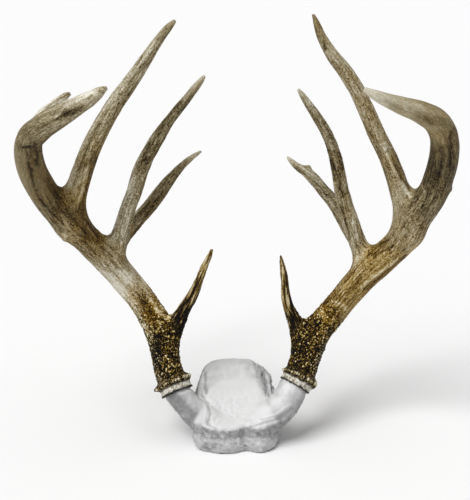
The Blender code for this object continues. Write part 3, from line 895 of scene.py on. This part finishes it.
GREY_BONE = {0: "191206", 0.2: "493c23", 0.4: "7b6d4b", 0.6: "a79b7c", 0.8: "cfc7b0", 1: "f1ede0"}
GOLD_BONE = {0: "120b01", 0.2: "46310a", 0.4: "7f6124", 0.6: "ad9050", 0.8: "d2c092", 1: "efe8d2"}
SOOTY = {0.12: "020100", 0.27: "211601", 0.4: "664a08", 0.57: "9e7e28", 0.78: "dfcb8e", 0.96: "fbf2d4"}
GOLDEN = {0: "110a00", 0.18: "473003", 0.38: "7b5b0a", 0.6: "aa8530", 0.8: "dac486", 0.98: "fdf5dc"}
ASHEN = {0.05: "030201", 0.25: "2b210d", 0.42: "69572f", 0.59: "a4925f", 0.75: "dccfa8", 0.95: "f9f3e0"}
LINED = {0.16: "050301", 0.33: "281a04", 0.48: "6d521d", 0.64: "b49d63", 0.88: "ece2c2"}
WORN_END = {0.2: "8f8468", 0.5: "cdc5b0", 0.8: "f1ede2"}
CUT_FOOT = {0.1: "2f220c", 0.35: "958a6c", 0.6: "dfdacd", 0.9: "f8f6f1"}
CAST_TOP = {0.3: "d6d6d6", 0.5: "dcdcdc", 0.7: "e2e2e2"}
# Greys for the painted shade on the plate's walls.
CAST_WALL_SHADE = {0.25: "707070", 0.5: "949494", 0.7: "b8b8b8", 0.85: "dcdcdc"}


def antler_material():
    """Dark pearled bone low down, streaked and flecked grey-tan above, and pale worn ends."""
    m = Shader("antler bone")
    place = m.place()
    grain = m.read("grain", "Vector")
    seam, pale, worn, mark, groove = map(m.read, ("seam", "pale", "worn", "mark", "groove"))
    soot, relief, turned_in, rightward = map(m.read, ("soot", "relief", "turned_in", "rightward"))
    # Streaks, flecks, pits and cracks follow the length of each tube.
    streak = m.drawn_out(grain, 0.45, 0.03, 4, 0.7)
    fleck = m.drawn_out(grain, 0.8, 0.13, 3, 0.65)
    pit = spread(m.drawn_out(grain, 0.72, 0.42, 2, 0.6, 40), 0.56, 0.63)
    crack = (m.drawn_out(grain, 0.33, 0.012, 3, 0.6, 90) + -0.5).math("ABSOLUTE")
    crack = spread(crack, 0, 0.022, 1, 0)
    grit = m.noise(place, 0.55, 3, 0.7)
    speck = spread(m.node("TexVoronoi", "Distance", Vector=place, Scale=0.52), 0.22, 0.5, 1, 0)
    pits = pit * spread(m.noise(place, 0.06), 0.4, 0.6, 0.3, 1)
    calm = spread(pale, 0.6, 0.95, 1, 0.5) * spread(worn, 0, 1, 1, 0.2)
    lined_here = m.read("lined") * seam
    swing = (
        centred(streak, 0.9) * lined_here
        + centred(fleck, 1) * seam
        + centred(grit, 1.15)
        # grooves darker and ridges paler: painted shade and highlight that follow the relief
        + groove * 0.3
        + pits * -0.36
        + crack * lined_here * -0.17
    )
    tone = (
        pale
        + 0.02
        + centred(m.noise(place, 0.035, 3, 0.6), 0.24)
        # Inward-facing sides come out darker, partly as the bone's own colour and partly as painted
        # shade; right-facing sides are darker again as painted shade, more so on the left antler.
        + centred(turned_in, -0.12)
        + rightward * -0.07
        + swing * calm
        # The marks: stains, and painted shade and highlight along grooves, ridges and shaded sides.
        + mark * 0.42
        + (centred(speck, 0.45) + centred(grit, 0.7)) * m.read("sprinkled")
    )
    # Right-facing sides also turn more ochre: painted shade.
    patchy = m.read("ochre") + centred(m.noise(place, 0.06, 4, 0.6), 0.8) + rightward * 0.16
    skin = m.mix(spread(patchy, 0.3, 0.9), m.ramp(tone, GREY_BONE), m.ramp(tone, GOLD_BONE))

    # The pearled zone: black crevices low down and ochre ones above, and ochre or cream beads. Beads
    # and lumps come out paler the higher they stand and crevices darker: partly the bone's own stain,
    # partly painted highlight and painted shade.
    beads = (
        relief * spread(soot, 0, 1, 0.4, 0.64)
        + 0.34
        + soot * -0.2
        + centred(grit, 1.6)
        + relief * centred(m.read("bead"), 0.6)
        + centred(speck, 0.42)
        + centred(m.noise(place, 0.085), 0.6)
        + m.read("lumpy") * 0.1
        + mark * 0.35
    )
    ashen = m.ramp(beads, ASHEN)
    dark = m.mix(soot, m.ramp(beads, GOLDEN), m.ramp(beads, SOOTY))
    dark = m.mix(spread(turned_in + centred(m.noise(place, 0.07), 1), 0.15, 0.42), ashen, dark)
    dark = m.mix(spread(m.read("ring"), 0.2, 0.7), dark, ashen)
    ragged = m.read("pearled") + centred(m.noise(place, 0.16, 5, 0.7), 1.2)
    skin = m.mix(spread(ragged, 0.1, 0.8), skin, dark)

    # The brow tines are nearly black in their grooves, with thin cream ridges: partly their own stain,
    # partly painted shade and highlight that follow the grooves' relief.
    thin = m.drawn_out(grain, 0.62, 0.02, 3, 0.6, 11)
    lines = groove * 0.85 + centred(thin, 2.1) + pale * 0.75 + 0.1 + centred(grit, 0.8) + mark * 0.4
    brow = spread(m.read("brow"), 0.55, 0.95) * spread(worn, 0, 0.6, 0.95, 0.6)
    skin = m.mix(brow, skin, m.ramp(lines, LINED))

    # Worn ends, and the pale stub under the burr with its dark-brown lower edge, and a painted shadow
    # just under the burr.
    bare = spread(pale + centred(grit, 0.6), 0.6, 1) * 0.5
    skin = m.mix(bare, skin, m.ramp(tone, WORN_END))
    foot = m.read("foot") + centred(m.noise(place, 0.25), 5)
    edge_and_burr_shadow = spread(foot, 0.4, 2, 1, 0).math("MAXIMUM", spread(foot, 5.5, 7.5)) * 0.9
    cut = m.ramp(centred(m.noise(place, 0.3, 4, 0.7), 2.2) + 0.58, CUT_FOOT)
    skin = m.mix(m.read("stub"), skin, m.mix(edge_and_burr_shadow, cut, colour("1d1305")))

    join(0.14, m.surface["Specular IOR Level"])
    height = (
        fleck * 0.6
        + grit * 0.6
        + streak * lined_here * 0.6
        + pits * -0.5
        + crack * lined_here * -0.4
    )
    return m.coat(skin, spread(tone, 0.1, 0.9, 0.68, 0.45), height * calm, 0.8, 1)


def plan_outline(count):
    """The plate's outline in plan: points from the middle of the front, round by the right side."""
    depth, left, right = np.array(PLATE_PLAN, float).T
    right_side = np.stack([right, depth], axis=1)
    left_side = np.stack([-left, depth], axis=1)[::-1]
    corners = np.concatenate([right_side, left_side])
    closed = np.concatenate([corners, corners[:1]])
    at = path_lengths(np.c_[closed, np.zeros(len(closed))])
    places = np.linspace(0, at[-1], count + 1)[:-1]
    outline = np.stack([np.interp(places, at, closed[:, k]) for k in (0, 1)], axis=1)
    for _ in range(2 * (count // 48) ** 2):
        outline = (np.roll(outline, 1, 0) + 2 * outline + np.roll(outline, -1, 0)) / 4
    across, half_width, notch = FRONT_NOTCH
    outline[:, 1] += notch * (outline[:, 1] < -30) * bell(outline[:, 0] - across, half_width)
    return outline


def flank_share(across, depth):
    """1 on the hollow right temple, 0 on the rest of the plate's top."""
    edge = 14 + 14 * (50 - depth) / 60
    return smooth((across - edge) / 16) * smooth((depth + 14) / 22)


def top_height(across, depth):
    """Height of the plate's top: it rises to the back, domes there, and falls away at the right."""
    slope = WALL_FRONT + (WALL_BACK - WALL_FRONT) * np.clip((depth + 50) / 100, 0, 1)
    dome = CROWN * bell(depth - 18, 26) * (1 - (across / 44) ** 2)
    dip = BROW_DIP * bell(depth + 25, 14) * bell(across, 22)
    return slope + dome - dip - FLANK_DROP * flank_share(across, depth)


def plate_rings():
    """Rings up the plate's wall, over its rim and across its top."""
    outline = plan_outline(144)
    rim = top_height(*outline.T)
    rings = [
        np.c_[outline * share, height + rim_share * rim]
        for share, height, rim_share in WALL_STEPS
    ]
    for share in np.linspace(0.92, 0.04, 23):
        inner = outline * share
        rings.append(np.c_[inner, top_height(*inner.T)])
    return rings


def pedicle_rings(stations, beam):
    """A pedicle, its flat end square to the antler's foot and GAP short of it."""
    reach = length_of(stations)
    tube = Tube(stations, np.linspace(0, reach, 17))
    rings = tube_rings(tube, 48)
    foot = curve_through(beam, np.array([0.0, 2.0]))[:, :3]
    along = (foot[1] - foot[0]) / norm(foot[1] - foot[0])
    for ring, back in ((rings[-1], GAP), (rings[-2], 3.5)):
        centre = foot[0] - along * back
        spoke = ring - ring.mean(0)
        spoke -= np.outer(spoke @ along, along)
        spoke *= (stations[-1][3] / 2) / norm(spoke, axis=1)[:, None]
        ring[:] = centre + spoke
    return tube, rings, foot[0] - along * GAP, along


def make_plate():
    """The cast plate with its pedicles: fused, softened where they join, chiselled and pitted."""
    left = pedicle_rings(LEFT_PEDICLE, LEFT_BEAM)
    right = pedicle_rings(RIGHT_PEDICLE, RIGHT_BEAM)
    obj = fused("plate", [plate_rings(), left[1], right[1]], PLATE_VOXEL)
    points = soften(obj, points_of(obj), (left, right))
    move_points(obj, points)
    x, y, z = points.T
    outward = vertex_rows(obj, "normal")
    ends = np.min([np.abs((points - end) @ along) for _, _, end, along in (left, right)], axis=0)
    keep = smooth((ends - 0.5) / 2) * smooth(z / 1.5)
    depth = top_height(x, y) - z
    facing_up = smooth((outward[:, 2] - 0.35) / 0.4)
    low = 1 - smooth((z - 12) / 8)
    wall = np.maximum(1 - facing_up, low) * smooth((depth - 0.5) / 4)
    stem = smooth((np.hypot(x, 1.3 * (z - 22)) - 46) / 6) * (1 - low)
    wall *= 1 - 0.75 * stem
    flank = flank_share(x, y) * (1 - smooth((depth - 6) / 6))

    # Chisel marks: slanting and level round the foot, upright on the temple.
    slanted = points + 0.5 * points[:, [0, 0, 0]] * (0, 0, 1)
    level = 1 - 2.4 * np.abs(rough(slanted / (11, 11, 3.2), 3, 5))
    upright_cuts = 1 - 2.4 * np.abs(rough(points / (3.4, 14, 10), 3, 9))
    hewn = 1 - 2 * np.abs(rough(points / 8, 3, 13))
    sway = rough(points / (16, 16, 9), 2, 17)
    edge = bell(depth - 2, 3) * (1 - flank) * smooth((10 - y) / 20)
    rise = wall * (0.8 * level + 0.8 * hewn - 0.7) + 1.8 * low * sway
    rise += edge * 0.9 * rough(points / 3.2, 3, 19)
    rise += flank * (1.8 * upright_cuts + 0.7 * hewn - 1.0)
    rise += stem * 0.6 * rough(points / (7, 7, 14), 3, 23)
    rise += 0.08 * rough(points / 8, 2, 21)
    pit, number = scattered(points / 7, 31)
    pits = np.clip(1 - (pit / 0.12) ** 2, 0, 1) * (number > 0.8)
    rise -= 0.5 * pits
    line_rise, line_shade = marked(points, outward, PLATE_MARKS, 400)
    rise += line_rise
    move_points(obj, points + outward * (rise * keep)[:, None])
    obj.data.shade_smooth()
    # Painted shade for the material: the front wall, the right temple and the pedicles' undersides go
    # grey, and so do hollows in the relief and the marks' creases; ridges on the walls go lighter as
    # painted highlight.
    on_left = x < 0
    out_left = np.clip(-outward[:, 0], 0, 1) * on_left
    under = stem * smooth(0.65 + 0.6 * on_left - outward[:, 2] + 0.9 * out_left)
    behind = smooth((y + 30) / 50)
    band = wall * (1 - 0.35 * low) * (1 - 0.6 * behind)
    pedicle_shade = 0.6 * under * on_left + 0.4 * stem * (1 - on_left)
    wall = np.clip(band + 0.6 * flank + 0.9 * under, 0, 1)
    paint(obj, wall=wall, hollow=pedicle_shade - 0.6 * rise - 0.5 * line_shade)
    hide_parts("skull_plate")
    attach(obj, "root")
    return obj


def soften(obj, points, pedicles):
    """Smooths the plate where the pedicles grow out of it, and a little all over."""
    edges = np.empty(len(obj.data.edges) * 2, np.int32)
    obj.data.edges.foreach_get("vertices", edges)
    a, b = edges.reshape(-1, 2).T
    count = np.bincount(a, minlength=len(points)) + np.bincount(b, minlength=len(points))
    body = points[:, 2] - top_height(points[:, 0], points[:, 1])
    weight = np.full(len(points), 0.12)
    for tube, _, end, along in pedicles:
        gap, _, _, _, _ = tube.locate(points)
        near = bell(gap, 5) * bell(body, 7) * smooth(((end - points) @ along - 4) / 8)
        near *= 1 if end[0] > 0 else 0.45
        weight = np.maximum(weight, near)
    weight *= smooth(points[:, 2] / 4)
    for turn in range(24):
        total = np.zeros_like(points)
        np.add.at(total, a, points[b])
        np.add.at(total, b, points[a])
        mean = total / count[:, None]
        strength = weight if turn < 6 else np.where(weight > 0.13, weight, 0)
        points = points + (mean - points) * 0.6 * strength[:, None]
    return points


def plate_material():
    """White casting resin: matt and faintly mottled, greyed by painted shade on the walls, in hollows
    and under the pedicles.
    """
    m = Shader("white cast")
    place = m.place()
    hollow, wall = m.read("hollow"), m.read("wall")
    mottle = m.noise(place, 0.05, 3, 0.5)
    grit = m.noise(place, 0.8, 4, 0.7)
    # Painted shade and highlight: darker in the hollows, lighter on the ridges.
    scraped_and_shaded = m.noise(place, 0.2, 4, 0.6) + hollow * -0.22
    top = m.ramp(mottle + centred(grit, 0.12), CAST_TOP)
    # Painted shade: the walls, the right temple and the pedicles' undersides take the grey ramp.
    skin = m.mix(wall * 0.9, top, m.ramp(scraped_and_shaded, CAST_WALL_SHADE))
    # Painted shade: hollows, creases and the pedicles darken further towards grey.
    skin = m.mix(spread(hollow, 0.1, 1) * 0.45, skin, colour("5c5c5c"))
    height = (m.noise(place, 0.25, 3, 0.5) + grit * 0.1) * spread(wall, 0, 0.6, 0.4, 1)
    return m.coat(skin, spread(mottle, 0.3, 0.7, 0.42, 0.55), height, 0.5, 0.5)


def dress(obj, material):
    obj.data.materials.clear()
    obj.data.materials.append(material)


def make_stage():
    """A plain pale floor."""
    shape = bmesh.new()
    bmesh.ops.create_grid(shape, x_segments=1, y_segments=1, size=50)
    floor = mesh_object("floor", shape)
    m = Shader("pale floor")
    join((0.93, 0.93, 0.93, 1), m.surface["Base Color"])
    join(0.9, m.surface["Roughness"])
    join(0.1, m.surface["Specular IOR Level"])
    floor.data.materials.append(m.material)


def add_sun(name, towards, strength, spread):
    """Soft, even light from a direction, over the object and the floor alike."""
    light = bpy.data.lights.new(name, "SUN")
    light.energy = strength
    light.angle = math.radians(spread)
    obj = put_in_scene(name, light)
    obj.rotation_euler = Vector(towards).to_track_quat("Z", "Y").to_euler()


def add_world():
    """Even white light from all round, before a white backdrop."""
    world = bpy.data.worlds.new("studio")
    bpy.context.scene.world = world
    world.use_nodes = True
    tree = world.node_tree
    background = tree.nodes["Background"]
    background.inputs["Color"].default_value = (1, 1, 1, 1)
    path = tree.nodes.new("ShaderNodeLightPath")
    strength = tree.nodes.new("ShaderNodeMapRange")
    tree.links.new(path.outputs["Is Camera Ray"], strength.inputs["Value"])
    strength.inputs["To Min"].default_value = FILL
    strength.inputs["To Max"].default_value = BACKDROP
    tree.links.new(strength.outputs["Result"], background.inputs["Strength"])


def add_camera():
    """The photograph's view: square to the plane that the antlers lean on."""
    camera = bpy.data.cameras.new("camera")
    camera.lens = 180
    camera.sensor_width = 36
    camera.clip_end = 100
    obj = put_in_scene("camera", camera)
    obj.location = (upright([CAMERA])[0] * MM).tolist()
    obj.rotation_euler = (math.pi / 2 - LEAN, 0, 0)
    bpy.context.scene.camera = obj


add_camera()
add_world()
add_sun("key", (-0.42, -0.34, 0.84), 2.1, 35)
add_sun("top", (0.12, 0, 0.99), 0.8, 60)
make_stage()
bone = antler_material()
dress(make_antler("left", LEFT_BEAM, LEFT_BEAM_TONES, LEFT_TINES, LEFT_MARKS, 1), bone)
dress(make_antler("right", RIGHT_BEAM, RIGHT_BEAM_TONES, RIGHT_TINES, RIGHT_MARKS, 200), bone)
dress(make_plate(), plate_material())
bpy.context.scene.view_settings.view_transform = "Standard"
